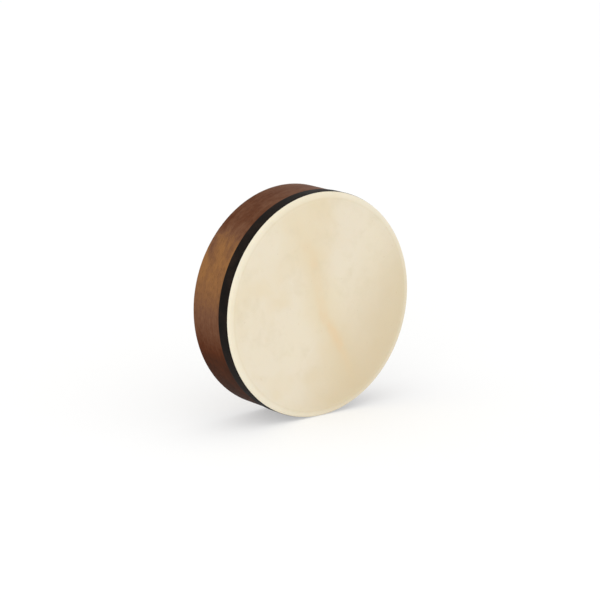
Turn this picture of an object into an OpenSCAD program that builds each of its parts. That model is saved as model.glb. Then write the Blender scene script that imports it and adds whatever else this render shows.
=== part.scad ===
// Bodhran: a deep frame drum with a goatskin head, tightened from inside by a tone ring.
//
// The drum stands on its rim. Its axis runs along Y, the head faces -Y and +Z is up, and the
// origin is under the middle of the drum, on the floor.
//
// Every piece is drawn about the drum's own axis first, with z = 0 at the back rim and +z towards
// the head. in_place() then stands the drum up.

/* [Shell] */
// Outer diameter of the wooden shell
shell_d = 457.2; // [380:0.1:560]
// Depth of the shell, from its back rim to its front edge
shell_depth = 118.5; // [98:0.5:150]
// Thickness of the shell's wood
shell_wall = 9; // [7.5:0.5:12]
// Radius of the front shoulder that the skin is drawn over
shoulder_r = 4.5; // [3:0.1:6]
// Rounding of both edges of the back rim
back_round = 2; // [1:0.1:3]

/* [Head] */
// Thickness of the goatskin
skin_t = 0.8; // [0.6:0.05:1.2]
// How far the skin stands in front of the shell's edge
head_rise = 2.2; // [1.8:0.1:4]

/* [Trim band] */
// Width of the black band
band_w = 28; // [20:0.5:40]
// Thickness of the black band where it covers the skin
band_t = 0.6; // [0.4:0.05:1.2]
// How far the band runs on past the end of the lapped skin
band_cover = 4; // [2:0.5:6]
// Gap where the band's two ends meet
band_joint = 0.5; // [0.2:0.1:1]

/* [Staples] */
// Number of staples that hold the lapped skin
staple_count = 48; // [24:4:64]
// Width of a staple's crown
staple_w = 10; // [8:0.5:13]
// Length of a staple's legs in the wood
staple_leg = 6; // [4:0.5:7]

/* [Tone ring] */
// Width of the tone ring's wood, measured across the drum
ring_t = 11; // [9:0.1:14]
// Height of the tone ring along the drum's axis
ring_h = 22; // [16:0.5:30]
// Rounding of the tone ring's outer edge, under the skin's crest
crest_r = 2.5; // [1.5:0.1:4]
// Gap all round between the tone ring and the shell
ring_clearance = 0.6; // [0.4:0.1:1]

/* [Tuning] */
// Diameter of a tuning bolt's shank
bolt_d = 6; // [5:0.5:8]
// Running gap around a bolt in its lug and in its pressure plate
bolt_clearance = 0.05; // [0.03:0.01:0.08]
// How far the tone ring moves forward from rest until the head is tight
tighten_travel = 4; // [2:0.5:6]
// How far the tone ring moves back from rest until the head is slack
slacken_travel = 1.2; // [0.5:0.1:1.4]
// Thickness of the steel pressure plates on the back of the tone ring
plate_t = 2; // [1.5:0.1:3]
// Height of a lug along the drum's axis
lug_h = 16; // [12:0.5:22]
// Gap left between a lug and a pressure plate when the head is slack
lug_to_plate = 8.8; // [5:0.1:16]

/* [Crossbars] */
// Width of a crossbar
bar_w = 24; // [18:0.5:30]
// Thickness of a crossbar along the drum's axis
bar_t = 14; // [10:0.5:16]
// Distance from the back rim to the back face of the crossbars
bar_setback = 20; // [8:0.5:22]
// Rounding of a crossbar's long edges
bar_round = 2.5; // [1:0.1:4]

/* [Hidden] */

$fn = 64;
ring_fn = 240;        // round pieces as wide as the drum
arc_steps = 8;        // straight steps in a quarter of a rounded edge
over = 1;             // how far a cutter runs past the face it cuts

// Shell
shell_or = shell_d / 2;
shell_ir = shell_or - shell_wall;
shoulder_cr = shell_or - shoulder_r;
shoulder_cz = shell_depth - shoulder_r;

// Tone ring. Its crest carries the skin's inner face, head_rise minus one skin above the shell.
ring_or = shell_ir - ring_clearance;
ring_ir = ring_or - ring_t;
ring_top = shell_depth + head_rise - skin_t;
ring_bottom = ring_top - ring_h;
crest_cr = ring_or - crest_r;
crest_cz = ring_top - crest_r;
bearing_r = ring_t - crest_r;

// The skin runs straight from the tone ring's crest to the shell's shoulder. slope is that
// line's angle below level, from the common tangent of the two rounded edges.
crest_to_shoulder = norm([shoulder_cr - crest_cr, shoulder_cz - crest_cz]);
slope = atan2(crest_cz - shoulder_cz, shoulder_cr - crest_cr)
    - asin((shoulder_r - crest_r) / crest_to_shoulder);
slope_r = crest_cr + crest_r * sin(slope);
slope_z = crest_cz + crest_r * cos(slope);
function under_skin(r) = slope_z - (r - slope_r) * tan(slope);
function over_skin(r) = under_skin(r) + skin_t / cos(slope);

// Trim band and the lapped skin under it
band_front = shoulder_cz;
band_back = band_front - band_w;
lap_back = band_back + band_cover;
lap_or = shell_or + skin_t;
band_or = lap_or + band_t;
band_round = band_t / 2;
band_joint_angle = -75;

// Staples lie flush with the lapped skin, half way along it
staple_wire = 0.5;
staple_band = 1.2;
staple_z = (band_front + lap_back) / 2;
staple_top = sqrt(pow(lap_or, 2) - pow(staple_w / 2, 2));

// Tuning stations stand clear of the crossbars, half way between them
station_count = 8;
station_step = 360 / station_count;
bolt_r = (ring_ir + ring_or) / 2;
plate_back = ring_bottom - plate_t;
plate_w = 22;
plate_edge = 0.5;
cup_depth = 1.2;
bore_d = bolt_d + 2 * bolt_clearance;
pin_d = 1.5;
pin_offset = 8;
pin_length = 9;
pin_head_h = 0.6;
lug_front = plate_back - slacken_travel - lug_to_plate;
lug_back = lug_front - lug_h;
lug_z = (lug_front + lug_back) / 2;
lug_wall = 3;
boss_w = bolt_d + 2 * lug_wall;
lug_foot_t = 3.5;
boss_to_screw = 7;
screw_to_lug_end = 6;
lug_screw_offset = boss_w / 2 + boss_to_screw;
lug_w = 2 * (lug_screw_offset + screw_to_lug_end);
bolt_tip = plate_back + cup_depth;
bolt_head_gap = 2;
bolt_head_front = lug_back - tighten_travel - bolt_head_gap;
bolt_head_h = bolt_d;
bolt_head_d = bolt_d * 5 / 3;
key_across = bolt_d * 5 / 6;
key_depth = bolt_d / 2;
bolt_chamfer = 0.6;

// Wood screws, used in the lugs, the blocks and the crossbars
screw_d = 3.2;
screw_head_d = 6.4;
screw_tip_cover = 3;   // wood left beyond a screw's tip
screw_bite = shell_wall - screw_tip_cover;
pan_head_h = 2.2;
pan_head_round = 1;
countersink = (screw_head_d - screw_d) / 2;
recess_w = 0.9;
recess_l = 4;
recess_depth = 1.2;

// Crossbars and the blocks that hold their ends
bar_back = bar_setback;
bar_front = bar_back + bar_t;
bar_mid = (bar_back + bar_front) / 2;
block_side_t = 15;      // depth of a block at its two sides
bar_seat = 12;          // how far a bar's end goes into its block
block_floor = 12;
block_cheek = 11;
block_front = bar_front + block_floor;
block_w = bar_w + 2 * block_cheek;
block_face = sqrt(pow(shell_ir, 2) - pow(block_w / 2, 2)) - block_side_t;
bar_end = block_face + bar_seat;
bar_end_gap = 0.5;
block_screw_offset = (bar_w + block_cheek) / 2;
block_screw_z = (bar_back + block_front) / 2;
crossbar_screw_r = (block_face + bar_end) / 2;
crossbar_screw_l = bar_t + block_floor - screw_tip_cover;

WOOD_STAIN = "#6e452c";
RAW_WOOD = "#c59a66";
SKIN = "#e8dcc2";
BLACK = "#1c1715";
ZINC = "#a9abac";
STEEL = "#8d9092";

// Stands the drum up: its axis turns from +z to -Y, and its lowest point comes to z = 0.
module in_place() {
    translate([0, (ring_top + skin_t) / 2, band_or]) rotate([90, 0, 0]) children();
}

// Points of a round edge: radius r about (cr, cz), from angle a0 to angle a1.
function arc(cr, cz, r, a0, a1) = [
    for (i = [0:arc_steps])
        let (a = a0 + (a1 - a0) * i / arc_steps)
        [cr + r * cos(a), cz + r * sin(a)]
];

module turned(points) {
    rotate_extrude($fn = ring_fn) polygon(points);
}

module at_stations() {
    for (i = [1:station_count]) at_station(i) children();
}

// Station 1 is half a step past +x, and the others follow anticlockwise seen from the head.
module at_station(i) {
    rotate([0, 0, (i - 0.5) * station_step]) children();
}

module at_bar_ends() {
    for (i = [0:3]) rotate([0, 0, i * 90]) children();
}

// Two crossed slots for a screwdriver, cut down from z = 0.
module recess() {
    for (a = [0, 90])
        rotate([0, 0, a])
            translate([-recess_l / 2, -recess_w / 2, -over]) cube([recess_l, recess_w, recess_depth + over]);
}

// A wood screw with a pan head. The head's underside is at z = 0, and the shank runs to +z.
module pan_screw_body(length) {
    cylinder(d = screw_d, h = length);
    translate([0, 0, -pan_head_h])
        cylinder(d1 = screw_head_d - 2 * pan_head_round, d2 = screw_head_d, h = pan_head_h / 2);
    translate([0, 0, -pan_head_h / 2]) cylinder(d = screw_head_d, h = pan_head_h / 2);
}

module pan_screw(length) {
    difference() {
        pan_screw_body(length);
        translate([0, 0, -pan_head_h]) recess();
    }
}

// A countersunk wood screw. The head's flat face is at z = 0, and the shank runs to +z.
module flat_screw_body(length) {
    cylinder(d1 = screw_head_d, d2 = screw_d, h = countersink);
    translate([0, 0, countersink]) cylinder(d = screw_d, h = length - countersink);
}

module flat_screw(length) {
    difference() {
        flat_screw_body(length);
        recess();
    }
}

// Where the lug screws go: two beside each bolt, pointing outwards through the lug's foot.
module at_lug_screws() {
    at_stations()
        for (side = [-1, 1])
            translate([shell_ir - lug_foot_t, side * lug_screw_offset, lug_z])
                rotate([0, 90, 0]) children();
}

module at_block_screws() {
    at_bar_ends()
        for (side = [-1, 1])
            translate([block_face, side * block_screw_offset, block_screw_z])
                rotate([0, 90, 0]) children();
}

module at_crossbar_screws() {
    at_bar_ends() translate([crossbar_screw_r, 0, bar_back]) children();
}

lug_screw_l = lug_foot_t + screw_bite;
block_screw_l = shell_ir - block_face + screw_bite;

// One staple per step: a crown along the skin and two legs into the wood. lift raises the crown.
module staples(lift) {
    for (i = [0:staple_count - 1])
        rotate([0, 0, (i + 0.5) * 360 / staple_count])
            translate([staple_top, 0, staple_z]) {
                translate([-staple_wire, -staple_w / 2, -staple_band / 2])
                    cube([staple_wire + lift, staple_w, staple_band]);
                for (y = [-staple_w / 2, staple_w / 2 - staple_wire])
                    translate([-staple_leg - skin_t, y, -staple_band / 2])
                        cube([staple_leg + skin_t, staple_wire, staple_band]);
            }
}

// Bent wooden shell with a round front shoulder and an eased back rim.
module shell() {
    in_place() color(WOOD_STAIN) difference() {
        turned(concat(
            arc(shell_ir + back_round, back_round, back_round, 180, 270),
            arc(shell_or - back_round, back_round, back_round, 270, 360),
            arc(shoulder_cr, shoulder_cz, shoulder_r, 0, 90 - slope),
            [[shoulder_cr, shell_depth], [shell_ir, shell_depth]]
        ));
        at_lug_screws() pan_screw_body(lug_screw_l);
        at_block_screws() flat_screw_body(block_screw_l);
        staples(0);
    }
}

// Playing area of the skin, as far as the outside of the tone ring, which carries it.
module drumhead() {
    in_place() color(SKIN) turned(concat(
        [[0, ring_top]],
        arc(crest_cr, crest_cz, crest_r, 90, 90 - slope),
        [[ring_or, under_skin(ring_or)], [ring_or, over_skin(ring_or)]],
        arc(crest_cr, crest_cz, crest_r + skin_t, 90 - slope, 90),
        [[0, ring_top + skin_t]]
    ));
}

// Rest of the skin: over the shell's shoulder and down the outside, where it is stapled.
module drumhead_lap() {
    in_place() color(SKIN) difference() {
        turned(concat(
            [[shell_ir, over_skin(shell_ir)], [shell_ir, under_skin(shell_ir)]],
            arc(shoulder_cr, shoulder_cz, shoulder_r, 90 - slope, 0),
            [[shell_or, lap_back], [lap_or, lap_back]],
            arc(shoulder_cr, shoulder_cz, shoulder_r + skin_t, 0, 90 - slope)
        ));
        staples(over);
    }
}

module lap_staples() {
    in_place() color(STEEL) staples(0);
}

// Black band over the staples. Behind the skin it steps in onto the wood.
module trim_band() {
    in_place() color(BLACK) difference() {
        turned(concat(
            [[lap_or, band_front], [lap_or, lap_back], [shell_or, lap_back], [shell_or, band_back]],
            arc(band_or - band_round, band_back + band_round, band_round, 270, 360),
            arc(band_or - band_round, band_front - band_round, band_round, 0, 90)
        ));
        rotate([0, 0, band_joint_angle])
            translate([shell_or - over, -band_joint / 2, band_back - over])
                cube([band_or - shell_or + 2 * over, band_joint, band_w + 2 * over]);
    }
}

// Loose wooden ring that the bolts push forward. Its crest is round outside and inside.
module tone_ring() {
    in_place() color(RAW_WOOD) difference() {
        turned(concat(
            [[ring_ir, ring_bottom], [ring_or, ring_bottom]],
            arc(crest_cr, crest_cz, crest_r, 0, 90 - slope),
            arc(crest_cr, crest_cz, crest_r, 90 - slope, 90),
            arc(crest_cr, ring_top - bearing_r, bearing_r, 90, 180)
        ));
        at_plate_pins() pin();
    }
}

module at_plate_pins() {
    at_stations()
        for (side = [-1, 1])
            translate([bolt_r, side * pin_offset, plate_back]) children();
}

// Small headed pin. The head's back is at z = 0, flush with the plate's back face.
module pin() {
    cylinder(d = 2 * pin_d, h = pin_head_h);
    translate([0, 0, pin_head_h]) cylinder(d = pin_d, h = pin_length - pin_head_h);
}

// Steel plates on the back of the tone ring, each with a cup for a bolt's tip.
module pressure_plates() {
    plate_ir = ring_ir + plate_edge;
    plate_or = ring_or - plate_edge;
    in_place() color(ZINC) difference() {
        at_stations()
            translate([0, 0, plate_back]) intersection() {
                difference() {
                    cylinder(r = plate_or, h = plate_t, $fn = ring_fn);
                    translate([0, 0, -over]) cylinder(r = plate_ir, h = plate_t + 2 * over, $fn = ring_fn);
                }
                translate([ring_ir, -plate_w / 2, -over]) cube([2 * ring_t, plate_w, plate_t + 2 * over]);
            }
        at_plate_pins() pin();
        at_stations() translate([bolt_r, 0, plate_back - over]) cylinder(d = bore_d, h = cup_depth + over);
    }
}

module plate_pins() {
    in_place() color(STEEL) at_plate_pins() pin();
}

// Metal lugs on the inside of the shell: a foot against the wood and a threaded boss.
module tuning_lugs() {
    in_place() color(ZINC) difference() {
        at_stations()
            translate([0, 0, lug_back]) intersection() {
                cylinder(r = shell_ir, h = lug_h, $fn = ring_fn);
                union() {
                    translate([shell_ir - lug_foot_t, -lug_w / 2, 0]) cube([2 * lug_foot_t, lug_w, lug_h]);
                    translate([bolt_r, -boss_w / 2, 0]) cube([shell_ir - bolt_r, boss_w, lug_h]);
                    translate([bolt_r, 0, 0]) cylinder(d = boss_w, h = lug_h);
                }
            }
        at_lug_screws() pan_screw_body(lug_screw_l);
        at_stations()
            translate([bolt_r, 0, lug_back - over]) cylinder(d = bore_d, h = lug_h + 2 * over);
    }
}

module lug_screws() {
    in_place() color(STEEL) at_lug_screws() pan_screw(lug_screw_l);
}

// Socket-head bolt: the head faces the open back, and the tip stands in its pressure plate.
module tuning_bolt(i) {
    head_back = bolt_head_front - bolt_head_h;
    in_place() color(STEEL) at_station(i) translate([bolt_r, 0, 0]) difference() {
        union() {
            translate([0, 0, bolt_head_front])
                cylinder(d = bolt_d, h = bolt_tip - bolt_head_front - bolt_chamfer);
            translate([0, 0, bolt_tip - bolt_chamfer])
                cylinder(d1 = bolt_d, d2 = bolt_d - 2 * bolt_chamfer, h = bolt_chamfer);
            translate([0, 0, head_back + bolt_chamfer])
                cylinder(d = bolt_head_d, h = bolt_head_h - bolt_chamfer);
            translate([0, 0, head_back])
                cylinder(d1 = bolt_head_d - 2 * bolt_chamfer, d2 = bolt_head_d, h = bolt_chamfer);
        }
        translate([0, 0, head_back - over])
            cylinder(d = key_across / cos(30), h = key_depth + over, $fn = 6);
    }
}

module tuning_bolt_1() { tuning_bolt(1); }
module tuning_bolt_2() { tuning_bolt(2); }
module tuning_bolt_3() { tuning_bolt(3); }
module tuning_bolt_4() { tuning_bolt(4); }
module tuning_bolt_5() { tuning_bolt(5); }
module tuning_bolt_6() { tuning_bolt(6); }
module tuning_bolt_7() { tuning_bolt(7); }
module tuning_bolt_8() { tuning_bolt(8); }

// Outline of a crossbar's section, with its long edges rounded.
module bar_section() {
    translate([-bar_w / 2 + bar_round, bar_back]) square([bar_w - 2 * bar_round, bar_t]);
    translate([-bar_w / 2, bar_back + bar_round]) square([bar_w, bar_t - 2 * bar_round]);
    for (x = [-1, 1], z = [bar_back + bar_round, bar_front - bar_round])
        translate([x * (bar_w / 2 - bar_round), z]) circle(r = bar_round);
}

// A crossbar along x. Half of its thickness, from z0 to z0 + bar_t / 2, is cut out at the middle.
module crossbar(z0) {
    half_length = bar_end - bar_end_gap;
    difference() {
        translate([-half_length, 0, 0]) rotate([90, 0, 90])
            linear_extrude(height = 2 * half_length) bar_section();
        translate([-bar_w / 2, -bar_w / 2 - over, z0]) cube([bar_w, bar_w + 2 * over, bar_t / 2 + over]);
        at_crossbar_screws() flat_screw_body(crossbar_screw_l);
    }
}

module crossbar_level() {
    in_place() color(WOOD_STAIN) crossbar(bar_mid);
}

module crossbar_upright() {
    in_place() color(WOOD_STAIN) rotate([0, 0, 90]) crossbar(bar_back - over);
}

// Blocks on the inside of the shell, each with a seat that is open to the back.
module crossbar_blocks() {
    in_place() color(WOOD_STAIN) difference() {
        at_bar_ends()
            translate([0, 0, bar_back]) intersection() {
                cylinder(r = shell_ir, h = block_front - bar_back, $fn = ring_fn);
                translate([block_face, -block_w / 2, 0])
                    cube([2 * block_side_t, block_w, block_front - bar_back]);
            }
        at_bar_ends()
            translate([block_face - over, -bar_w / 2, bar_back - over])
                cube([bar_end - block_face + over, bar_w, bar_t + over]);
        at_block_screws() flat_screw_body(block_screw_l);
        at_crossbar_screws() flat_screw_body(crossbar_screw_l);
    }
}

module block_screws() {
    in_place() color(STEEL) at_block_screws() flat_screw(block_screw_l);
}

module crossbar_screws() {
    in_place() color(STEEL) at_crossbar_screws() flat_screw(crossbar_screw_l);
}

shell();
drumhead();
drumhead_lap();
lap_staples();
trim_band();
tone_ring();
pressure_plates();
plate_pins();
tuning_lugs();
lug_screws();
tuning_bolt_1();
tuning_bolt_2();
tuning_bolt_3();
tuning_bolt_4();
tuning_bolt_5();
tuning_bolt_6();
tuning_bolt_7();
tuning_bolt_8();
crossbar_level();
crossbar_upright();
crossbar_blocks();
block_screws();
crossbar_screws();
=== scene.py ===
import math
import bmesh
import bpy
import numpy as np
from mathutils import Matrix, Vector


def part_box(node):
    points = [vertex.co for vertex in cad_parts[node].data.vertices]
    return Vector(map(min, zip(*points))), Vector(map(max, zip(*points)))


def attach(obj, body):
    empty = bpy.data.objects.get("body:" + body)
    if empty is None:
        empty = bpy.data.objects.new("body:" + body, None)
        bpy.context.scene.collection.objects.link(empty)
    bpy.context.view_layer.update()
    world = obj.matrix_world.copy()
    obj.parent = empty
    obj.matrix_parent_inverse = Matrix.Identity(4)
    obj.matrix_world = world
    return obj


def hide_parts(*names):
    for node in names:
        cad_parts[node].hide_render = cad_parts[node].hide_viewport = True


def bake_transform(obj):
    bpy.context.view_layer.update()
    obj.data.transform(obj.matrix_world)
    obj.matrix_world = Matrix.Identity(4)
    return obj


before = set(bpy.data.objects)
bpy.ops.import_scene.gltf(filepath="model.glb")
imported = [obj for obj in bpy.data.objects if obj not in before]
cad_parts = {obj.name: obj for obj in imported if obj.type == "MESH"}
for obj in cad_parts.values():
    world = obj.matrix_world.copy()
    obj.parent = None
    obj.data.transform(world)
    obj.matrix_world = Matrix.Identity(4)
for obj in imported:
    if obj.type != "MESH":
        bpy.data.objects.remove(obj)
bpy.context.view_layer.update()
print("stage 1: the packed drum is loaded")


def outerRadius(nodeName):  # of a node that is turned about the drum's axis
    low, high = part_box(nodeName)
    return (high.x - low.x) / 2


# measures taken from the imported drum, in metres; y grows from the head towards the open back
axisHeight = (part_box("shell")[0].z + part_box("shell")[1].z) / 2
shellRadius = outerRadius("shell")
shellFront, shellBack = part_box("shell")[0].y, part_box("shell")[1].y
ringRadius = outerRadius("tone_ring")
ringFront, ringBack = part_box("tone_ring")[0].y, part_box("tone_ring")[1].y
lapRadius, lapBack = outerRadius("drumhead_lap"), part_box("drumhead_lap")[1].y
bandRadius = outerRadius("trim_band")
bandFront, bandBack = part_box("trim_band")[0].y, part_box("trim_band")[1].y
skinThickness = lapRadius - shellRadius
shoulderRadius = bandFront - shellFront

wood = {
    "wall": 0.009,
    "backRounding": 0.002,
    "aroundSteps": 384,   # also for the tone ring
    "shoulderSteps": 8,
    "roundingSteps": 5,
    "depthSteps": 14,
    "jointAngle": -78,    # where the shell's two ends are glued, in degrees from the right
}

ring = {
    "width": 0.011,
    "crestRounding": 0.0025,
    "bearingSteps": 8,
    "roundingSteps": 5,
    "depthSteps": 3,
    "jointAngle": -15,
}


def arcPoints(centreRadius, centreY, radius, startDegrees, endDegrees, steps):
    # points (radius, y) round a centre; 0 degrees points away from the axis, 90 to the head
    angle = np.radians(np.linspace(startDegrees, endDegrees, steps + 1))
    return np.column_stack([centreRadius + radius * np.cos(angle),
                            centreY - radius * np.sin(angle)])


def linePoints(start, end, steps):
    # evenly spaced points from start up to, but not including, end
    share = np.linspace(0, 1, steps, endpoint=False)[:, None]
    return np.array(start) * (1 - share) + np.array(end) * share


def meshPiece(name, points, faces, uvs=None, sharpAngle=35):
    # uvs holds one (u, v) in metres for each corner of each face, in the order of the faces, and
    # an edge that turns by more degrees than sharpAngle is shaded as an edge
    mesh = bpy.data.meshes.new(name)
    mesh.from_pydata(points.reshape(-1, 3).tolist(), [], faces)
    mesh.polygons.foreach_set("use_smooth", np.ones(len(mesh.polygons), dtype=bool))
    if uvs is not None:
        mesh.uv_layers.new(name="surface").data.foreach_set("uv", uvs.ravel().astype(np.float32))
    mesh.set_sharp_from_angle(angle=math.radians(sharpAngle))
    mesh.validate()
    piece = bpy.data.objects.new(name, mesh)
    bpy.context.scene.collection.objects.link(piece)
    return piece


def aroundAxis(radius, y, angle):
    # x = radius * cos(angle), z = axis height + radius * sin(angle)
    x, z = radius * np.cos(angle), axisHeight + radius * np.sin(angle)
    return np.stack(np.broadcast_arrays(x, y, z), axis=-1)


def stripFaces(rows, columns, closeRows, closeColumns):
    # Four-sided faces over a grid of rows and columns of points, as (row, column) of each corner.
    # A closed direction joins its last line of points to its first.
    row, column = np.meshgrid(np.arange(rows - (not closeRows)),
                              np.arange(columns - (not closeColumns)), indexing="ij")
    row, column = row.ravel(), column.ravel()
    cornerRow = np.stack([row, row + 1, row + 1, row], axis=-1)
    cornerColumn = np.stack([column, column, column + 1, column + 1], axis=-1)
    numbers = cornerRow % rows * columns + cornerColumn % columns
    return numbers, cornerRow, cornerColumn


def fanFaces(pole, ringStart, steps):
    # triangles that join a pole to each point of a closed ring and to the next one
    place = np.arange(steps)
    return np.stack([np.full(steps, pole), ringStart + place, ringStart + (place + 1) % steps],
                    axis=-1)


def lengthAlong(loop):
    # the way along a closed line of points, from its first point to each one and back to the first
    closed = np.concatenate([loop, loop[:1]])
    return np.concatenate([[0], np.cumsum(np.hypot(*np.diff(closed, axis=0).T))])


def unevenness(angle, waveNumbers, seed):
    # The size of a sum of sine waves round the drum, as a share of its largest. A wave's strength
    # is a random number over the square root of its number, and it starts at a random angle.
    rng = np.random.default_rng(seed)
    waves = np.array(waveNumbers)
    strength = rng.normal(size=len(waves)) / np.sqrt(waves)
    start = rng.uniform(0, 2 * np.pi, len(waves))
    total = np.abs((strength * np.sin(np.outer(angle, waves) + start)).sum(axis=1))
    return total / total.max()


def turnedPiece(name, profile, startDegrees):
    # A closed profile of (radius, y) is turned about the drum's axis. In the UV map, u is the way
    # round at the largest radius and v the way along the profile, both in metres.
    steps = wood["aroundSteps"]
    angle = math.radians(startDegrees) + np.linspace(0, 2 * np.pi, steps, endpoint=False)
    points = aroundAxis(profile[:, :1], profile[:, 1:], angle)
    faces, row, column = stripFaces(len(profile), steps, True, True)
    uvs = np.stack([column / steps * 2 * np.pi * profile[:, 0].max(), lengthAlong(profile)[row]],
                   axis=-1)
    return meshPiece(name, points, faces.tolist(), uvs)


skin = {
    "aroundSteps": 360,
    "flatSteps": 26,
    "crestSteps": 3,
    "slopeSteps": 10,
    "shoulderSteps": 8,
    "lapSteps": 6,
    "sharpAngle": 60,
    "strainRipple": 0.00007,         # how far the lapped skin strays from a true circle
    "rippleStart": 0.003,            # how far inside the shell's edge the ripple begins
    "rippleWaves": range(5, 42, 3),  # the numbers of waves round the drum that add up to it
    "seed": 7,
}


def buildSkin():
    # The skin's inner face from the middle outwards, turned about the axis: level to the ring's
    # crest, straight along the common tangent of the crest's and the shoulder's rounded edges,
    # round the shoulder, and down the side. A sum of sine waves ripples the side a little, where
    # the wet skin was pulled down by hand. Solidify then gives the skin its thickness.
    crestRadius, crestY = ringRadius - ring["crestRounding"], ringFront + ring["crestRounding"]
    turnRadius, turnY = shellRadius - shoulderRadius, shellFront + shoulderRadius
    reach, drop = turnRadius - crestRadius, turnY - crestY
    widening = math.asin((shoulderRadius - ring["crestRounding"]) / math.hypot(reach, drop))
    slope = math.degrees(math.atan2(drop, reach) - widening)
    overCrest = arcPoints(crestRadius, crestY, ring["crestRounding"], 90, 90 - slope,
                          skin["crestSteps"])
    overShoulder = arcPoints(turnRadius, turnY, shoulderRadius, 90 - slope, 0,
                             skin["shoulderSteps"])
    profile = np.concatenate([
        linePoints((0, ringFront), (crestRadius, ringFront), skin["flatSteps"])[1:],
        overCrest,
        linePoints(overCrest[-1], overShoulder[0], skin["slopeSteps"])[1:],
        overShoulder,
        linePoints(overShoulder[-1], (shellRadius, lapBack), skin["lapSteps"])[1:],
        [[shellRadius, lapBack]],
    ])
    steps = skin["aroundSteps"]
    angle = np.linspace(0, 2 * np.pi, steps, endpoint=False)
    ripple = unevenness(angle, skin["rippleWaves"], skin["seed"])
    share = np.clip((profile[:, :1] - shellRadius) / skin["rippleStart"] + 1, 0, 1)
    radius = profile[:, :1] + skin["strainRipple"] * share * ripple
    points = np.concatenate([aroundAxis(radius, profile[:, 1:], angle).reshape(-1, 3),
                             [[0, ringFront, axisHeight]]])
    faces, _, _ = stripFaces(len(profile), steps, False, True)
    fan = fanFaces(len(points) - 1, 0, steps)
    head = meshPiece("drum_skin", points, faces.tolist() + fan.tolist(),
                     sharpAngle=skin["sharpAngle"])
    thicken = head.modifiers.new("skinThickness", "SOLIDIFY")
    thicken.thickness = skinThickness - skin["strainRipple"]
    thicken.offset = 1
    thicken.use_even_offset = True
    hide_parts("drumhead", "drumhead_lap")
    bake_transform(head)
    # cut as a disc that reaches the lap's end
    return head


def buildShell():
    # a wall of even thickness, its front shoulder a quarter round and both back edges eased
    inside, rounding = shellRadius - wood["wall"], wood["backRounding"]
    roundStart = shellBack - rounding
    profile = np.concatenate([
        arcPoints(shellRadius - shoulderRadius, bandFront, shoulderRadius, 90, 0,
                  wood["shoulderSteps"]),
        linePoints((shellRadius, bandFront), (shellRadius, roundStart), wood["depthSteps"])[1:],
        arcPoints(shellRadius - rounding, roundStart, rounding, 0, -90, wood["roundingSteps"]),
        arcPoints(inside + rounding, roundStart, rounding, -90, -180, wood["roundingSteps"]),
        linePoints((inside, roundStart), (inside, shellFront), wood["depthSteps"])[1:],
        [[inside, shellFront]],
    ])
    shell = turnedPiece("bent_wood_shell", profile, wood["jointAngle"])
    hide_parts("shell")
    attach(shell, "drum_shell")
    return shell


def buildToneRing():
    # a tall section whose top is one wide round inside and a small one outside, under the skin
    rounding = ring["crestRounding"]
    bearing = ring["width"] - rounding
    crestRadius, inside = ringRadius - rounding, ringRadius - ring["width"]
    crestY = ringFront + rounding
    profile = np.concatenate([
        arcPoints(crestRadius, ringFront + bearing, bearing, 180, 90, ring["bearingSteps"]),
        arcPoints(crestRadius, crestY, rounding, 90, 0, ring["roundingSteps"])[1:],
        linePoints((ringRadius, crestY), (ringRadius, ringBack), ring["depthSteps"])[1:],
        [[ringRadius, ringBack], [ringRadius - ring["width"] / 2, ringBack], [inside, ringBack]],
    ])
    hoop = turnedPiece("beech_tone_ring", profile, ring["jointAngle"])
    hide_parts("tone_ring")
    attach(hoop, "tension_ring")
    return hoop


band = {
    "jointAngle": -75,
    "jointGap": 0.0005,
    "aroundSteps": 420,
    "cover": 0.004,           # how far it runs on past the end of the lapped skin
    "frontEdge": 0.0002,      # its thickness at the front, where it is pressed down
    "frontTaper": 0.0018,
    "waver": 0.00012,         # how far its back edge strays from a true circle
    "waverWaves": range(3, 60, 4),
    "widthSteps": 10,
    "roundingSteps": 3,
    "seed": 11,
}


def buildBand():
    # A closed section of (radius, y) carried round from one side of the joint to the other, with
    # both ends capped. The back edge moves by a sum of sine waves, as a hand-laid band does.
    rounding = (bandRadius - lapRadius) / 2
    outer = linePoints((bandRadius, bandFront + band["frontTaper"]),
                       (bandRadius, bandBack - rounding), band["widthSteps"])
    backEdge = arcPoints(bandRadius - rounding, bandBack - rounding, rounding, 0, -90,
                         band["roundingSteps"])
    step = bandBack - band["cover"]
    section = np.concatenate([
        [[lapRadius, bandFront], [lapRadius + band["frontEdge"], bandFront]],
        outer,
        backEdge,
        [[shellRadius, bandBack], [shellRadius, step], [lapRadius, step]],
    ])
    gap = band["jointGap"] / bandRadius
    start = math.radians(band["jointAngle"]) + gap / 2
    angle = np.linspace(start, start + 2 * np.pi - gap, band["aroundSteps"] + 1)
    waver = band["waver"] * unevenness(angle, band["waverWaves"], band["seed"])
    isBack = section[:, 1:] > (bandFront + bandBack) / 2
    points = aroundAxis(section[:, :1], section[:, 1:] - isBack * waver, angle)
    rows, columns = len(section), len(angle)
    faces, row, column = stripFaces(rows, columns, True, False)
    uvs = np.stack([(angle[column] - start) * bandRadius, lengthAlong(section)[row]],
                   axis=-1).reshape(-1, 2)
    firstEnd = np.arange(rows)[::-1] * columns
    lastEnd = np.arange(rows) * columns + columns - 1
    strip = meshPiece("black_trim_band", points,
                      faces.tolist() + [firstEnd.tolist(), lastEnd.tolist()],
                      np.concatenate([uvs, section[::-1], section]))
    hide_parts("trim_band")
    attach(strip, "drum_shell")
    return strip


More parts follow.
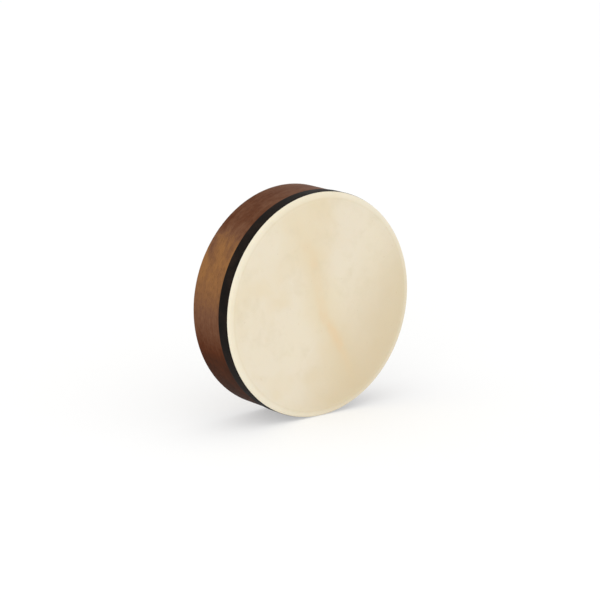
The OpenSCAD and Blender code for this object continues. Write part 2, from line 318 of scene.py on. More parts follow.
bolt = {
    "count": 8,
    "shankRadius": 0.003,
    "headRadius": 0.005,
    "headHeight": 0.006,
    "chamfer": 0.0006,
    "pitch": 0.001,
    "threadDepth": 0.0006,
    "rowsPerTurn": 6,
    "aroundSteps": 48,
    "keyAcross": 0.005,
    "keyDepth": 0.003,
    "keyCone": 0.0008,
    "keyEase": 0.0003,
    "knurlDepth": 0.00012,
    "knurlRidges": 24,
    "sharpAngle": 40,
}


def buildBolt(number):
    # Rings of points along the bolt's own axis, from the tip back to the head and into its key
    # socket. The thread is right-handed: the radius falls by the thread's depth times a triangle
    # wave of (distance towards the drum's head) / pitch - angle / full turn, and it fades out over
    # the last turn. The socket is a hexagon: half its width / cos(angle from the nearest flat).
    name = f"tuning_bolt_{number}"
    low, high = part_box(name)
    centreX, centreZ = (low.x + high.x) / 2, (low.z + high.z) / 2
    steps, chamfer, head = bolt["aroundSteps"], bolt["chamfer"], bolt["headRadius"]
    angle = np.linspace(0, 2 * np.pi, steps, endpoint=False)
    circle = np.ones(steps)
    headFront = high.y - bolt["headHeight"]
    threadStart = low.y + chamfer
    turns = (headFront - threadStart) / bolt["pitch"]
    threadY = np.linspace(threadStart, headFront, int(turns * bolt["rowsPerTurn"]))[:, None]
    phase = (-threadY / bolt["pitch"] - angle / (2 * np.pi)) % 1
    fade = np.minimum(1, (headFront - threadY) / bolt["pitch"])
    thread = bolt["shankRadius"] - bolt["threadDepth"] * (1 - np.abs(2 * phase - 1)) * fade
    knurled = head - bolt["knurlDepth"] * (0.5 - 0.5 * np.cos(bolt["knurlRidges"] * angle))
    sixth = math.pi / 3
    hexagon = bolt["keyAcross"] / 2 / np.cos((angle + sixth / 2) % sixth - sixth / 2)
    headRows = [
        (headFront, (head - chamfer / 2) * circle),
        (headFront + chamfer / 2, head * circle),
        (headFront + chamfer, knurled),
        (high.y - 2 * chamfer, knurled),
        (high.y - chamfer, head * circle),
        (high.y, (head - chamfer) * circle),
        (high.y, hexagon + bolt["keyEase"]),
        (high.y - bolt["keyEase"], hexagon),
        (high.y - bolt["keyDepth"], hexagon),
    ]
    radius = np.vstack([(bolt["shankRadius"] - chamfer) * circle, thread,
                        *[row[1] for row in headRows]])
    y = np.concatenate([[low.y], threadY[:, 0], [row[0] for row in headRows]])[:, None]
    grid = np.stack(np.broadcast_arrays(centreX + radius * np.cos(angle), y,
                                        centreZ + radius * np.sin(angle)), axis=-1)
    socketEnd = high.y - bolt["keyDepth"] - bolt["keyCone"]
    poles = [[centreX, low.y, centreZ], [centreX, socketEnd, centreZ]]
    points = np.concatenate([grid.reshape(-1, 3), poles])
    faces, _, _ = stripFaces(len(y), steps, False, True)
    tipFan = fanFaces(len(points) - 2, 0, steps)
    keyFan = fanFaces(len(points) - 1, (len(y) - 1) * steps, steps)[:, ::-1]
    piece = meshPiece(f"threaded_bolt_{number}", points,
                      faces.tolist() + tipFan.tolist() + keyFan.tolist(),
                      sharpAngle=bolt["sharpAngle"])
    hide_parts(name)
    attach(piece, f"bolt_{number}")
    return piece


easedEdges = {
    "lugWidth": 0.0006,
    "blockWidth": 0.0012,
    "plateWidth": 0.0003,
    "segments": 3,
    "sharpAngle": 35,
    "flatAngle": 1,     # faces that meet at less than this, in degrees, become one
    "mergeReach": 2e-6,
}


def easedCopy(nodeName, pieceName, bodyName, edgeWidth):
    # a copy of a node with its doubles merged and its flat faces joined, and every sharp edge
    # rounded by a small bevel
    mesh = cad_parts[nodeName].data.copy()
    mesh.name = pieceName
    mesh.materials.clear()
    work = bmesh.new()
    work.from_mesh(mesh)
    bmesh.ops.remove_doubles(work, verts=work.verts, dist=easedEdges["mergeReach"])
    bmesh.ops.dissolve_limit(work, angle_limit=math.radians(easedEdges["flatAngle"]),
                             verts=work.verts, edges=work.edges)
    work.to_mesh(mesh)
    work.free()
    mesh.polygons.foreach_set("use_smooth", np.ones(len(mesh.polygons), dtype=bool))
    mesh.set_sharp_from_angle(angle=math.radians(easedEdges["sharpAngle"]))
    piece = bpy.data.objects.new(pieceName, mesh)
    bpy.context.scene.collection.objects.link(piece)
    bevel = piece.modifiers.new("easedEdges", "BEVEL")
    bevel.width = edgeWidth
    bevel.segments = easedEdges["segments"]
    bevel.limit_method = "ANGLE"
    bevel.angle_limit = math.radians(easedEdges["sharpAngle"])
    bevel.harden_normals = True
    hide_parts(nodeName)
    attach(piece, bodyName)
    return piece


def linearColour(colour):
    # an sRGB hex colour, or a grey from 0 to 1 that is a plain number, as linear red, green, blue
    # and alpha
    if not isinstance(colour, str):
        return [colour] * 3 + [1.0]
    values = [int(colour[k:k + 2], 16) / 255 for k in (1, 3, 5)]
    return [v / 12.92 if v <= 0.04045 else ((v + 0.055) / 1.055) ** 2.4 for v in values] + [1.0]


def addNode(tree, kind, inputs=None, stops=None, **settings):
    # One node with its settings. An input is a value or the socket that feeds it, and stops are
    # the (place, colour) pairs of a colour ramp.
    node = tree.nodes.new(kind)
    for name, value in settings.items():
        setattr(node, name, value)
    for name, value in (inputs or {}).items():
        if isinstance(value, bpy.types.NodeSocket):
            tree.links.new(value, node.inputs[name])
        else:
            node.inputs[name].default_value = value
    if stops:
        elements = node.color_ramp.elements
        while len(elements) < len(stops):
            elements.new(1.0)
        for element, (place, colour) in zip(elements, stops):
            element.position, element.color = place, linearColour(colour)
    return node


def newMaterial(name, inputs):
    material = bpy.data.materials.new(name)
    material.use_nodes = True
    tree = material.node_tree
    tree.nodes.clear()
    shader = addNode(tree, "ShaderNodeBsdfPrincipled", inputs)
    addNode(tree, "ShaderNodeOutputMaterial", {"Surface": shader.outputs["BSDF"]})
    return material, tree, shader


def paint(piece, material):
    piece.data.materials.clear()
    piece.data.materials.append(material)


goatskin = {
    "cream": "#dfd4be",
    "pale": "#e0d5bd",        # thick, opaque flanks
    "warm": "#dbcbaa",        # along the animal's back
    "amber": "#dec299",       # the line of its spine
    "brown": "#cdbb98",       # thin belly skin near one edge
    "blotch": "#d2c5a8",
    "rim": "#ece3cd",         # painted highlight, paler towards the rim where the skin slopes over the ring
    "crestShade": "#c9b68d",    # painted shade, a faint line where the skin turns over the ring's crest
    "freckle": "#b89b70",
    "spineLean": 23,          # degrees from upright, top to the left
    "spineShift": 0.0087,     # how far right of the middle it crosses the level diameter
    "spineWidth": 0.022,
    "spineReach": 0.2,        # half the length over which its strength is set
    "spineStrength": [(0.0, 0.0), (0.14, 0.2), (0.27, 0.62), (0.42, 0.55), (0.53, 0.2),
                      (0.68, 0.36), (0.8, 0.2), (1.0, 0.0)],
    "warmWidth": 0.07,
    "warmShare": 0.75,
    "rimHighlightWidth": 0.01,         # how far inside the ring's edge the painted highlight of the rim begins
    "rimHighlightShare": 0.5,
    "crestShadeWidth": 0.004,
    "crestShadeShare": 0.15,
    "bellyLean": -35,         # direction of the brown edge, in degrees from the right
    "bellyFrom": 0.0,         # the brown grows from here to there, measured that way
    "bellyTo": 0.21,
    "bellyShare": 0.8,
    "flankFrom": -0.04,       # and the pale flank on the other side
    "flankTo": -0.2,
    "flankShare": 0.35,
    "cloudSize": 0.0625,      # clouds that move every mark
    "cloudShift": 0.05,       # twice the most that they move one
    "bendLength": 0.167,      # the waves of the spine
    "bendShift": 0.06,
    "wornSize": 0.022,        # stretches where the spine's line is fainter
    "shadeSize": 0.154,       # broad pale and warm areas
    "mottleSize": 0.042,
    "blotchShare": 0.5,
    "poreSize": 0.0012,       # hair pores; real ones are half this, too fine to show
    "poreDepth": 0.0002,
    "unevenSize": 0.006,      # the scraped surface is not quite flat
    "unevenDepth": 0.0004,
    "freckleSpacing": 0.014,
    "freckleShare": 0.3,
}


def goatskinMaterial():
    # Rawhide goatskin, scraped and dried on the drum: cream with pale flanks, a warmer stripe along
    # the animal's back with a soft amber line down it, and fine pores under a faint natural gloss.
    material, tree, shader = newMaterial("rawhide goatskin, scraped", {
        "IOR": 1.45, "Subsurface Weight": 0.08, "Subsurface Scale": 0.002,
        "Subsurface Radius": (1.0, 0.62, 0.36)})
    place = addNode(tree, "ShaderNodeTexCoord").outputs["Object"]
    centred = addNode(tree, "ShaderNodeMapping", {
        "Vector": place, "Location": (0, 0, -axisHeight)}).outputs["Vector"]
    # clouds move every mark by a few millimetres, so that none is straight
    cloud = addNode(tree, "ShaderNodeTexNoise", {
        "Vector": centred, "Scale": 1 / goatskin["cloudSize"], "Detail": 3.0,
        "Roughness": 0.55}).outputs["Color"]
    middled = addNode(tree, "ShaderNodeVectorMath", {0: cloud, 1: (0.5, 0.5, 0.5)},
                      operation="SUBTRACT").outputs["Vector"]
    moved = addNode(tree, "ShaderNodeVectorMath", {0: middled, "Scale": goatskin["cloudShift"]},
                    operation="SCALE").outputs["Vector"]
    warped = addNode(tree, "ShaderNodeVectorMath", {0: centred, 1: moved},
                     operation="ADD").outputs["Vector"]
    # the spine bends in longer waves
    bend = addNode(tree, "ShaderNodeTexNoise", {
        "Vector": centred, "Scale": 1 / goatskin["bendLength"], "Detail": 1.0}).outputs["Color"]
    bendMiddled = addNode(tree, "ShaderNodeVectorMath", {0: bend, 1: (0.5, 0.5, 0.5)},
                          operation="SUBTRACT").outputs["Vector"]
    bendMoved = addNode(tree, "ShaderNodeVectorMath", {
        0: bendMiddled, "Scale": goatskin["bendShift"]}, operation="SCALE").outputs["Vector"]
    bent = addNode(tree, "ShaderNodeVectorMath", {0: centred, 1: bendMoved},
                   operation="ADD").outputs["Vector"]
    # the head turned so that the spine runs along z: x is then the distance from it
    lean = math.radians(goatskin["spineLean"])
    turned = addNode(tree, "ShaderNodeMapping", {
        "Vector": bent, "Rotation": (0, lean, 0),
        "Location": (-goatskin["spineShift"] * math.cos(lean), 0, 0)})
    spineAxes = addNode(tree, "ShaderNodeSeparateXYZ", {"Vector": turned.outputs["Vector"]})
    across = addNode(tree, "ShaderNodeMath", {0: spineAxes.outputs["X"]},
                     operation="ABSOLUTE").outputs["Value"]
    core = addNode(tree, "ShaderNodeMapRange", {
        "Value": across, "From Max": goatskin["spineWidth"], "To Min": 1.0, "To Max": 0.0},
        interpolation_type="SMOOTHERSTEP").outputs["Result"]
    halo = addNode(tree, "ShaderNodeMapRange", {
        "Value": across, "From Max": goatskin["warmWidth"], "To Min": goatskin["warmShare"],
        "To Max": 0.0}, interpolation_type="SMOOTHSTEP").outputs["Result"]
    alongSpine = addNode(tree, "ShaderNodeMapRange", {
        "Value": spineAxes.outputs["Z"], "From Min": -goatskin["spineReach"],
        "From Max": goatskin["spineReach"]}).outputs["Result"]
    strength = addNode(tree, "ShaderNodeValToRGB", {"Fac": alongSpine},
                       stops=goatskin["spineStrength"]).outputs["Color"]
    worn = addNode(tree, "ShaderNodeTexNoise", {
        "Vector": centred, "Scale": 1 / goatskin["wornSize"], "Detail": 3.0,
        "Roughness": 0.6}).outputs["Fac"]
    patchy = addNode(tree, "ShaderNodeMapRange", {
        "Value": worn, "From Min": 0.36, "From Max": 0.6, "To Min": 0.35}).outputs["Result"]
    whole = addNode(tree, "ShaderNodeMath", {0: core, 1: strength},
                    operation="MULTIPLY").outputs["Value"]
    spine = addNode(tree, "ShaderNodeMath", {0: whole, 1: patchy},
                    operation="MULTIPLY").outputs["Value"]
    # broad shades, and a finer mottle
    shades = addNode(tree, "ShaderNodeTexNoise", {
        "Vector": warped, "Scale": 1 / goatskin["shadeSize"], "Detail": 3.0,
        "Roughness": 0.5}).outputs["Fac"]
    mottle = addNode(tree, "ShaderNodeTexNoise", {
        "Vector": warped, "Scale": 1 / goatskin["mottleSize"], "Detail": 5.0,
        "Roughness": 0.62}).outputs["Fac"]
    base = addNode(tree, "ShaderNodeValToRGB", {"Fac": shades}, stops=[
        (0.26, goatskin["warm"]), (0.48, goatskin["cream"]), (0.68, goatskin["pale"])]
    ).outputs["Color"]
    striped = addNode(tree, "ShaderNodeMix", {
        "Factor": halo, 6: base, 7: linearColour(goatskin["warm"])}, data_type="RGBA").outputs[2]
    # thin belly skin, browner, towards one edge of the head, and a thick pale flank opposite
    belly = addNode(tree, "ShaderNodeMapping", {
        "Vector": warped, "Rotation": (0, math.radians(goatskin["bellyLean"]), 0)})
    bellyAxes = addNode(tree, "ShaderNodeSeparateXYZ", {"Vector": belly.outputs["Vector"]})
    bellyShare = addNode(tree, "ShaderNodeMapRange", {
        "Value": bellyAxes.outputs["X"], "From Min": goatskin["bellyFrom"],
        "From Max": goatskin["bellyTo"], "To Max": goatskin["bellyShare"]},
        interpolation_type="SMOOTHSTEP").outputs["Result"]
    flankShare = addNode(tree, "ShaderNodeMapRange", {
        "Value": bellyAxes.outputs["X"], "From Min": goatskin["flankFrom"],
        "From Max": goatskin["flankTo"], "To Max": goatskin["flankShare"]},
        interpolation_type="SMOOTHSTEP").outputs["Result"]
    flanked = addNode(tree, "ShaderNodeMix", {
        "Factor": flankShare, 6: striped, 7: linearColour(goatskin["pale"])},
        data_type="RGBA").outputs[2]
    edged = addNode(tree, "ShaderNodeMix", {
        "Factor": bellyShare, 6: flanked, 7: linearColour(goatskin["brown"])},
        data_type="RGBA").outputs[2]
    blotchShare = addNode(tree, "ShaderNodeMapRange", {
        "Value": mottle, "From Min": 0.5, "From Max": 0.78,
        "To Max": goatskin["blotchShare"]}).outputs["Result"]
    blotched = addNode(tree, "ShaderNodeMix", {
        "Factor": blotchShare, 6: edged, 7: linearColour(goatskin["blotch"])},
        data_type="RGBA").outputs[2]
    spined = addNode(tree, "ShaderNodeMix", {
        "Factor": spine, 6: blotched, 7: linearColour(goatskin["amber"])},
        data_type="RGBA").outputs[2]
    # towards its rim the skin is painted paler, a painted highlight on its slope over the ring,
    # with a faint line of painted shade along the tone ring's crest
    axes = addNode(tree, "ShaderNodeSeparateXYZ", {"Vector": centred})
    flat = addNode(tree, "ShaderNodeCombineXYZ", {"X": axes.outputs["X"], "Y": axes.outputs["Z"]})
    fromAxis = addNode(tree, "ShaderNodeVectorMath", {0: flat.outputs["Vector"]},
                       operation="LENGTH").outputs["Value"]
    rimHighlightShare = addNode(tree, "ShaderNodeMapRange", {
        "Value": fromAxis, "From Min": ringRadius - goatskin["rimHighlightWidth"], "From Max": lapRadius,
        "To Max": goatskin["rimHighlightShare"]}, interpolation_type="SMOOTHSTEP").outputs["Result"]
    rimHighlighted = addNode(tree, "ShaderNodeMix", {
        "Factor": rimHighlightShare, 6: spined, 7: linearColour(goatskin["rim"])},
        data_type="RGBA").outputs[2]
    # painted shade: a faint darker line along the ring's crest, where the skin turns
    fromCrest = addNode(tree, "ShaderNodeMath", {
        0: fromAxis, 1: ringRadius - ring["crestRounding"]}, operation="SUBTRACT").outputs["Value"]
    crestGap = addNode(tree, "ShaderNodeMath", {0: fromCrest},
                       operation="ABSOLUTE").outputs["Value"]
    crestShadeShare = addNode(tree, "ShaderNodeMapRange", {
        "Value": crestGap, "From Max": goatskin["crestShadeWidth"], "To Min": goatskin["crestShadeShare"],
        "To Max": 0.0}, interpolation_type="SMOOTHSTEP").outputs["Result"]
    crestShaded = addNode(tree, "ShaderNodeMix", {
        "Factor": crestShadeShare, 6: rimHighlighted, 7: linearColour(goatskin["crestShade"])},
        data_type="RGBA").outputs[2]
    # a few small freckles, where the cell's own random shade is high
    cells = addNode(tree, "ShaderNodeTexVoronoi", {
        "Vector": warped, "Scale": 1 / goatskin["freckleSpacing"]}, feature="F1")
    spot = addNode(tree, "ShaderNodeMapRange", {
        "Value": cells.outputs["Distance"], "From Min": 0.03, "From Max": 0.13,
        "To Min": goatskin["freckleShare"], "To Max": 0.0}).outputs["Result"]
    rare = addNode(tree, "ShaderNodeMapRange", {
        "Value": cells.outputs["Color"], "From Min": 0.6, "From Max": 0.75}).outputs["Result"]
    freckles = addNode(tree, "ShaderNodeMath", {0: spot, 1: rare},
                       operation="MULTIPLY").outputs["Value"]
    final = addNode(tree, "ShaderNodeMix", {
        "Factor": freckles, 6: crestShaded, 7: linearColour(goatskin["freckle"])},
        data_type="RGBA").outputs[2]
    tree.links.new(final, shader.inputs["Base Color"])
    rough = addNode(tree, "ShaderNodeMapRange", {
        "Value": mottle, "From Min": 0.3, "From Max": 0.7, "To Min": 0.5,
        "To Max": 0.62}).outputs["Result"]
    tree.links.new(rough, shader.inputs["Roughness"])
    # pores, with the faint unevenness of the scraped surface
    pores = addNode(tree, "ShaderNodeTexVoronoi", {
        "Vector": centred, "Scale": 1 / goatskin["poreSize"]}).outputs["Distance"]
    uneven = addNode(tree, "ShaderNodeTexNoise", {
        "Vector": centred, "Scale": 1 / goatskin["unevenSize"], "Detail": 4.0}).outputs["Fac"]
    poreBump = addNode(tree, "ShaderNodeBump", {
        "Strength": 0.12, "Distance": goatskin["poreDepth"], "Height": pores}).outputs["Normal"]
    skinBump = addNode(tree, "ShaderNodeBump", {
        "Strength": 0.2, "Distance": goatskin["unevenDepth"], "Height": uneven,
        "Normal": poreBump}).outputs["Normal"]
    tree.links.new(skinBump, shader.inputs["Normal"])
    return material


stain = {
    "deep": "#2c1608",
    "dark": "#522810",
    "middle": "#704b35",
    "light": "#8e6239",
    "pore": "#24120a",
    "patchLength": 0.06,  # a patch where the stain took more or less, along the grain
    "patchWidth": 0.034,
    "mottleLength": 0.011,
    "mottleWidth": 0.0083,
    "streakLength": 0.11,
    "streakWidth": 0.0032,
    "streakDepth": 0.0003,
    "poreLength": 0.014,
    "poreWidth": 0.0007,  # vessels are finer still, drawn as wide as shows
    "poreDepth": 0.0002,
    "mottleShare": 0.35,  # how much of the tone each of these makes up
    "streakShare": 0.25,
    "poreShare": 0.6,     # how strongly a pore's own colour shows
    "glueLine": 0.0005,
    "glueShare": 0.7,
    "wander": 0.08,       # how far the painted light and shade shift from patch to patch, in turns
    "paintedLightShare": 0.55,   # how much of the shell's tone is painted light and shade
    # painted light and shade round the shell, from its glued joint on: painted shade, darkest at
    # the foot, and a painted pool of light on the left, where the key light falls
    "paintedLightRound": [(0.0, 0.06), (0.12, 0.3), (0.3, 0.5), (0.46, 0.55), (0.55, 0.36), (0.6, 0.5),
                  (0.64, 0.88), (0.7, 0.62), (0.75, 0.46), (0.79, 0.12), (1.0, 0.04)],
}


def stainedWood(name, source, alongAxis, isShell=False):
    # Rubberwood under brown dye stain and a thin satin lacquer, rubbed back. The stain takes
    # unevenly, so the wood is mottled, with soft streaks and short dark pores along the grain. The
    # specular level is set below a real lacquer's, so that the white studio doesn't grey the brown.
    material, tree, shader = newMaterial(name, {"IOR": 1.45, "Specular IOR Level": 0.04})
    place = addNode(tree, "ShaderNodeTexCoord").outputs[source]

    def grain(length, width, detail, roughness, distortion):
        # noise whose marks have this length along the grain and this width across it
        scale = [1 / stain[width]] * 3
        scale[alongAxis] = 1 / stain[length]
        stretched = addNode(tree, "ShaderNodeMapping", {
            "Vector": place, "Scale": scale}).outputs["Vector"]
        return addNode(tree, "ShaderNodeTexNoise", {
            "Vector": stretched, "Scale": 1.0, "Detail": detail, "Roughness": roughness,
            "Distortion": distortion}).outputs["Fac"]

    patches = grain("patchLength", "patchWidth", 4.0, 0.55, 0.5)
    mottle = grain("mottleLength", "mottleWidth", 4.0, 0.6, 0.2)
    streaks = grain("streakLength", "streakWidth", 5.0, 0.62, 0.3)
    pores = grain("poreLength", "poreWidth", 2.0, 0.5, 0.0)
    cloudy = addNode(tree, "ShaderNodeMix", {
        "Factor": stain["mottleShare"], 2: patches, 3: mottle}, data_type="FLOAT").outputs[0]
    tone = addNode(tree, "ShaderNodeMix", {
        "Factor": stain["streakShare"], 2: cloudy, 3: streaks}, data_type="FLOAT").outputs[0]
    if isShell:
        # painted light and shade round the drum, from the u of its UV map, shifted a little by the
        # stain's patches
        parts = addNode(tree, "ShaderNodeSeparateXYZ", {"Vector": place})
        turn = addNode(tree, "ShaderNodeMath", {
            0: parts.outputs["X"], 1: 2 * math.pi * shellRadius},
            operation="DIVIDE").outputs["Value"]
        wander = addNode(tree, "ShaderNodeMath", {
            0: patches, 1: stain["wander"], 2: -stain["wander"] / 2},
            operation="MULTIPLY_ADD").outputs["Value"]
        shifted = addNode(tree, "ShaderNodeMath", {0: turn, 1: wander},
                          operation="ADD").outputs["Value"]
        paintedLightTone = addNode(tree, "ShaderNodeValToRGB", {"Fac": shifted}, stops=stain["paintedLightRound"])
        paintedLightTone.color_ramp.interpolation = "B_SPLINE"
        # the stain's own tone, mixed with the painted light and shade
        tone = addNode(tree, "ShaderNodeMix", {
            "Factor": stain["paintedLightShare"], 2: tone, 3: paintedLightTone.outputs["Color"]},
            data_type="FLOAT").outputs[0]
    base = addNode(tree, "ShaderNodeValToRGB", {"Fac": tone}, stops=[
        (0.24, stain["deep"]), (0.4, stain["dark"]), (0.54, stain["middle"]),
        (0.66, stain["light"])]).outputs["Color"]
    poreShare = addNode(tree, "ShaderNodeMapRange", {
        "Value": pores, "From Min": 0.56, "From Max": 0.7,
        "To Max": stain["poreShare"]}).outputs["Result"]
    colour = addNode(tree, "ShaderNodeMix", {
        "Factor": poreShare, 6: base, 7: linearColour(stain["pore"])}, data_type="RGBA").outputs[2]
    if isShell:
        glue = addNode(tree, "ShaderNodeMapRange", {
            "Value": parts.outputs["X"], "From Max": stain["glueLine"],
            "To Min": stain["glueShare"], "To Max": 0.0}).outputs["Result"]
        colour = addNode(tree, "ShaderNodeMix", {
            "Factor": glue, 6: colour, 7: linearColour(stain["pore"])}, data_type="RGBA").outputs[2]
    tree.links.new(colour, shader.inputs["Base Color"])
    rough = addNode(tree, "ShaderNodeMapRange", {
        "Value": tone, "From Min": 0.3, "From Max": 0.7, "To Min": 0.62,
        "To Max": 0.5}).outputs["Result"]
    tree.links.new(rough, shader.inputs["Roughness"])
    poreBump = addNode(tree, "ShaderNodeBump", {
        "Strength": 0.3, "Distance": stain["poreDepth"], "Height": pores},
        invert=True).outputs["Normal"]
    grainBump = addNode(tree, "ShaderNodeBump", {
        "Strength": 0.15, "Distance": stain["streakDepth"], "Height": streaks,
        "Normal": poreBump}).outputs["Normal"]
    tree.links.new(grainBump, shader.inputs["Normal"])
    return material


plainBeech = {
    "light": "#cda470",
    "middle": "#b98b5b",
    "dark": "#96693f",
    "grainLength": 0.14,
    "grainWidth": 0.0038,
    "grainDepth": 0.0003,
    "fleckLength": 0.0045,
    "fleckWidth": 0.0012,
    "fleckShare": 0.5,
}


def beechMaterial():
    # steamed beech, planed and left raw: pinkish tan, even, with short dark flecks along the grain
    material, tree, shader = newMaterial("steamed beech, raw", {"Roughness": 0.62, "IOR": 1.5})
    place = addNode(tree, "ShaderNodeTexCoord").outputs["UV"]
    grain = addNode(tree, "ShaderNodeMapping", {"Vector": place, "Scale": (
        1 / plainBeech["grainLength"], 1 / plainBeech["grainWidth"], 1.0)})
    short = addNode(tree, "ShaderNodeMapping", {"Vector": place, "Scale": (
        1 / plainBeech["fleckLength"], 1 / plainBeech["fleckWidth"], 1.0)})
    streaks = addNode(tree, "ShaderNodeTexNoise", {
        "Vector": grain.outputs["Vector"], "Scale": 1.0, "Detail": 5.0,
        "Distortion": 0.3}).outputs["Fac"]
    flecks = addNode(tree, "ShaderNodeTexNoise", {
        "Vector": short.outputs["Vector"], "Scale": 1.0, "Detail": 1.0}).outputs["Fac"]
    base = addNode(tree, "ShaderNodeValToRGB", {"Fac": streaks}, stops=[
        (0.3, plainBeech["dark"]), (0.5, plainBeech["middle"]), (0.7, plainBeech["light"])])
    share = addNode(tree, "ShaderNodeMapRange", {
        "Value": flecks, "From Min": 0.62, "From Max": 0.7,
        "To Max": plainBeech["fleckShare"]}).outputs["Result"]
    colour = addNode(tree, "ShaderNodeMix", {
        "Factor": share, 6: base.outputs["Color"], 7: linearColour(plainBeech["dark"])},
        data_type="RGBA")
    tree.links.new(colour.outputs[2], shader.inputs["Base Color"])
    bump = addNode(tree, "ShaderNodeBump", {
        "Strength": 0.25, "Distance": plainBeech["grainDepth"], "Height": streaks})
    tree.links.new(bump.outputs["Normal"], shader.inputs["Normal"])
    return material


leathercloth = {
    "black": "#120e0b",
    "worn": "#261d18",
    # painted shade in the grooves between the pressed cells
    "grooveShade": "#060404",
    "grain": 0.0016,        # its pressed cells are finer, drawn as wide as shows
    "grainDepth": 0.00025,
    "grooveShadeShare": 0.7,
    "handledSize": 0.033,   # patches that hands have dulled
}


def bandMaterial():
    # Black leathercloth, vinyl on a woven back: matte, with a fine pressed leather grain whose
    # grooves carry painted shade, and browner where hands have dulled it.
    material, tree, shader = newMaterial("black leathercloth, matte", {
        "IOR": 1.45, "Specular IOR Level": 0.04})
    place = addNode(tree, "ShaderNodeTexCoord").outputs["UV"]
    cells = addNode(tree, "ShaderNodeTexVoronoi", {
        "Vector": place, "Scale": 1 / leathercloth["grain"]},
        feature="SMOOTH_F1", voronoi_dimensions="2D").outputs["Distance"]
    handling = addNode(tree, "ShaderNodeTexNoise", {
        "Vector": place, "Scale": 1 / leathercloth["handledSize"], "Detail": 4.0, "Roughness": 0.6},
        noise_dimensions="2D").outputs["Fac"]
    tone = addNode(tree, "ShaderNodeValToRGB", {"Fac": handling}, stops=[
        (0.4, leathercloth["black"]), (0.75, leathercloth["worn"])])
    # painted shade in the grooves between the grain's pressed cells
    grooveShadeShare = addNode(tree, "ShaderNodeMapRange", {
        "Value": cells, "From Min": 0.35, "From Max": 0.75,
        "To Max": leathercloth["grooveShadeShare"]}).outputs["Result"]
    colour = addNode(tree, "ShaderNodeMix", {
        "Factor": grooveShadeShare, 6: tone.outputs["Color"], 7: linearColour(leathercloth["grooveShade"])},
        data_type="RGBA").outputs[2]
    tree.links.new(colour, shader.inputs["Base Color"])
    rough = addNode(tree, "ShaderNodeMapRange", {
        "Value": handling, "From Min": 0.3, "From Max": 0.7, "To Min": 0.5,
        "To Max": 0.65}).outputs["Result"]
    tree.links.new(rough, shader.inputs["Roughness"])
    bump = addNode(tree, "ShaderNodeBump", {
        "Strength": 0.5, "Distance": leathercloth["grainDepth"], "Height": cells}, invert=True)
    tree.links.new(bump.outputs["Normal"], shader.inputs["Normal"])
    return material


castZinc = {
    "light": "#c9cbcc",
    "dark": "#9d9fa0",
    "smoothest": 0.32,
    "roughest": 0.48,
    "tarnishSize": 0.007,
    "grain": 0.0006,
    "grainDepth": 0.0001,
}

platedSteel = {
    "light": "#bfc2c3",
    "dark": "#85888a",
    "smoothest": 0.24,
    "roughest": 0.4,
    "tarnishSize": 0.007,
    "grain": 0.0004,
    "grainDepth": 0.0001,
}


def metalMaterial(name, metal):
    # A metal whose colour and gloss vary from place to place, duller where it is darker. Tumbled
    # castings and plated steel both have a fine grain to their surface.
    material, tree, shader = newMaterial(name, {"Metallic": 1.0})
    place = addNode(tree, "ShaderNodeTexCoord").outputs["Object"]
    tarnish = addNode(tree, "ShaderNodeTexNoise", {
        "Vector": place, "Scale": 1 / metal["tarnishSize"], "Detail": 4.0,
        "Roughness": 0.6}).outputs["Fac"]
    texture = addNode(tree, "ShaderNodeTexNoise", {
        "Vector": place, "Scale": 1 / metal["grain"], "Detail": 2.0}).outputs["Fac"]
    tone = addNode(tree, "ShaderNodeValToRGB", {"Fac": tarnish}, stops=[
        (0.35, metal["dark"]), (0.65, metal["light"])])
    tree.links.new(tone.outputs["Color"], shader.inputs["Base Color"])
    rough = addNode(tree, "ShaderNodeMapRange", {
        "Value": tarnish, "From Min": 0.3, "From Max": 0.7,
        "To Min": metal["roughest"], "To Max": metal["smoothest"]}).outputs["Result"]
    tree.links.new(rough, shader.inputs["Roughness"])
    bump = addNode(tree, "ShaderNodeBump", {
        "Strength": 0.15, "Distance": metal["grainDepth"], "Height": texture})
    tree.links.new(bump.outputs["Normal"], shader.inputs["Normal"])
    return material


studio = {
    "floorRadius": 30.0,
    "floorSteps": 96,
    "floorColour": "#c4c4c3",
    "floorGlow": 0.42,        # an opal acrylic table, lit from below, so its shadows stay faint
    "skyStrength": 1.0,
    "sunStrength": 0.25,
    "sunSpread": 60,          # degrees across, so its shadows are soft
    "sunFrom": (-0.6, -0.7, 1.0),
    "keyPower": 4.0,
    "keyPlace": (-1.5, -1.3, 0.7),
    "keySize": 1.2,
}

camera = {
    "azimuth": -38.2,
    "elevation": 13.6,
    "distance": 4.66,
    "lens": 138.7,
    "aimAside": -0.0057,  # how far to the right of the drum's middle the camera aims
    "clipEnd": 100,
}


def addLamp(name, kind, power, place, target, **settings):
    lamp = bpy.data.lights.new(name, kind)
    lamp.energy = power
    for setting, value in settings.items():
        setattr(lamp, setting, value)
    holder = bpy.data.objects.new(name, lamp)
    holder.location = place
    holder.rotation_euler = (target - Vector(place)).to_track_quat("-Z", "Y").to_euler()
    bpy.context.scene.collection.objects.link(holder)


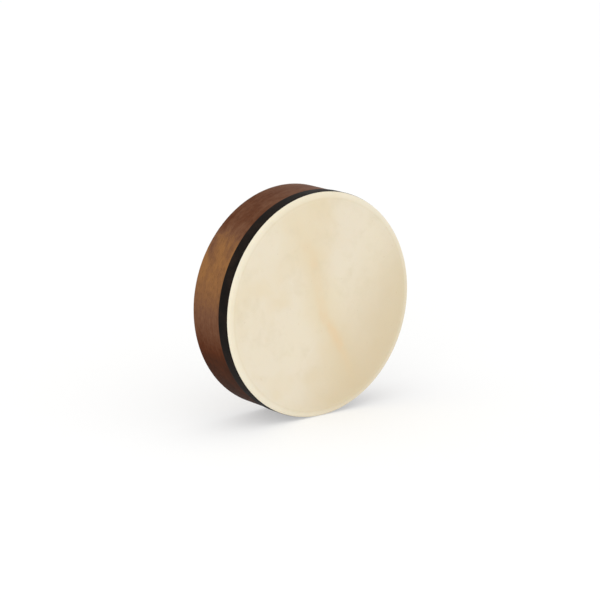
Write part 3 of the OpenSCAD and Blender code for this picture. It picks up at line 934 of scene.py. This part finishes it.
def buildStudio():
    middle = Vector((0, 0, axisHeight))
    angle = np.linspace(0, 2 * np.pi, studio["floorSteps"], endpoint=False)
    rim = studio["floorRadius"] * np.stack([np.cos(angle), np.sin(angle), np.zeros_like(angle)], -1)
    floor = meshPiece("studio_floor", rim, [list(range(len(angle)))])
    table, _, _ = newMaterial("opal acrylic, lit from below", {
        "Base Color": linearColour(studio["floorColour"]), "Roughness": 0.9,
        "Specular IOR Level": 0.1, "Emission Color": linearColour(1.0),
        "Emission Strength": studio["floorGlow"]})
    paint(floor, table)
    world = bpy.data.worlds.new("white studio")
    world.use_nodes = True
    sky = world.node_tree.nodes["Background"].inputs
    sky["Color"].default_value = linearColour(1.0)
    sky["Strength"].default_value = studio["skyStrength"]
    bpy.context.scene.world = world
    addLamp("ceiling_glow", "SUN", studio["sunStrength"], studio["sunFrom"], Vector((0, 0, 0)),
            angle=math.radians(studio["sunSpread"]))
    addLamp("key_softbox", "AREA", studio["keyPower"], studio["keyPlace"], middle,
            shape="DISK", size=studio["keySize"])


def buildCamera():
    turn, rise = math.radians(camera["azimuth"]), math.radians(camera["elevation"])
    back = Vector((math.sin(turn) * math.cos(rise), -math.cos(turn) * math.cos(rise),
                   math.sin(rise)))
    toRight = Vector((math.cos(turn), math.sin(turn), 0))
    view = bpy.data.cameras.new("camera")
    view.lens = camera["lens"]
    view.clip_end = camera["clipEnd"]
    holder = bpy.data.objects.new("camera", view)
    aim = Vector((0, 0, axisHeight)) + toRight * camera["aimAside"]
    holder.location = aim + back * camera["distance"]
    holder.rotation_euler = (-back).to_track_quat("-Z", "Y").to_euler()
    bpy.context.scene.collection.objects.link(holder)
    bpy.context.scene.camera = holder


bpy.context.scene.view_settings.view_transform = "Standard"
buildCamera()
buildStudio()
print("stage 2: camera, lights and floor")

head, shell, toneRing, trimBand = buildSkin(), buildShell(), buildToneRing(), buildBand()
bolts = [buildBolt(number) for number in range(1, bolt["count"] + 1)]
print("stage 3: skin, shell, tone ring, band and bolts")

lugs = easedCopy("tuning_lugs", "cast_lugs", "drum_shell", easedEdges["lugWidth"])
blocks = easedCopy("crossbar_blocks", "bar_blocks", "drum_shell",
                   easedEdges["blockWidth"])
plates = easedCopy("pressure_plates", "bolt_plates", "tension_ring",
                   easedEdges["plateWidth"])
print("stage 4: lugs, blocks and plates with eased edges")

paint(head, goatskinMaterial())
paint(shell, stainedWood("stained rubberwood, rubbed satin", "UV", 0, isShell=True))
paint(toneRing, beechMaterial())
paint(trimBand, bandMaterial())
zincCasting = metalMaterial("zinc die casting, barrelled", castZinc)
steel = metalMaterial("zinc-plated steel", platedSteel)
levelWood = stainedWood("stained rubberwood, level grain", "Object", 0)
uprightWood = stainedWood("stained rubberwood, upright grain", "Object", 2)
for piece in [lugs, plates]:
    paint(piece, zincCasting)
for piece in bolts:
    paint(piece, steel)
for nodeName in ("lap_staples", "plate_pins", "lug_screws", "block_screws", "crossbar_screws"):
    paint(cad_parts[nodeName], steel)
for piece in [blocks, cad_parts["crossbar_level"]]:
    paint(piece, levelWood)
paint(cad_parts["crossbar_upright"], uprightWood)
print("stage 5: materials")
